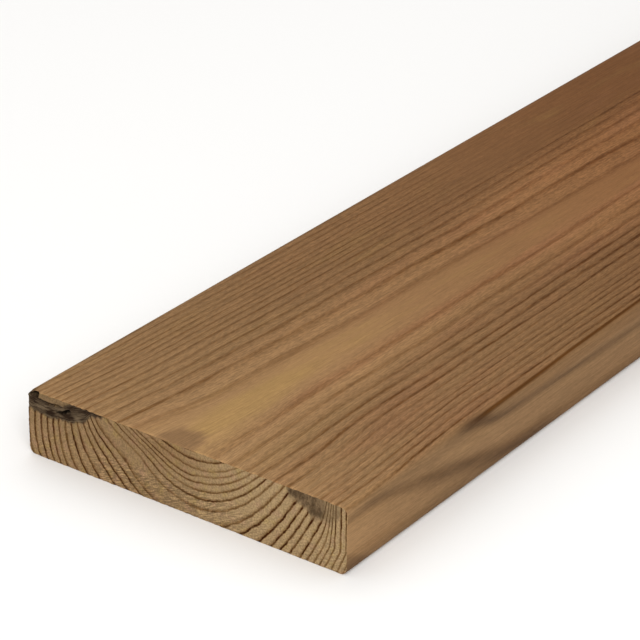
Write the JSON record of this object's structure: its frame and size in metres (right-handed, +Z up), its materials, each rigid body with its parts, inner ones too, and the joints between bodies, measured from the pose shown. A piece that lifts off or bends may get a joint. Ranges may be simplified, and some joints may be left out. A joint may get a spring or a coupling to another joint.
{
  "type": "decking board",
  "caption": "Planed softwood decking board of rectangular section, with eased long edges, smooth faces and square-sawn ends.",
  "frame": {"origin": "middle of the underside, halfway along and halfway across the board", "axes": "+X along the board, away from the knotty sawn end; +Y across its face; +Z up through its thickness"},
  "size_m": [2.4, 0.145, 0.027],
  "materials": {
    "planed_pine": "planed brown-treated pine, matt, with sawn end grain"
  },
  "bodies": {
    "root": {"decking_board": "planed_pine"}
  },
  "joints": []
}
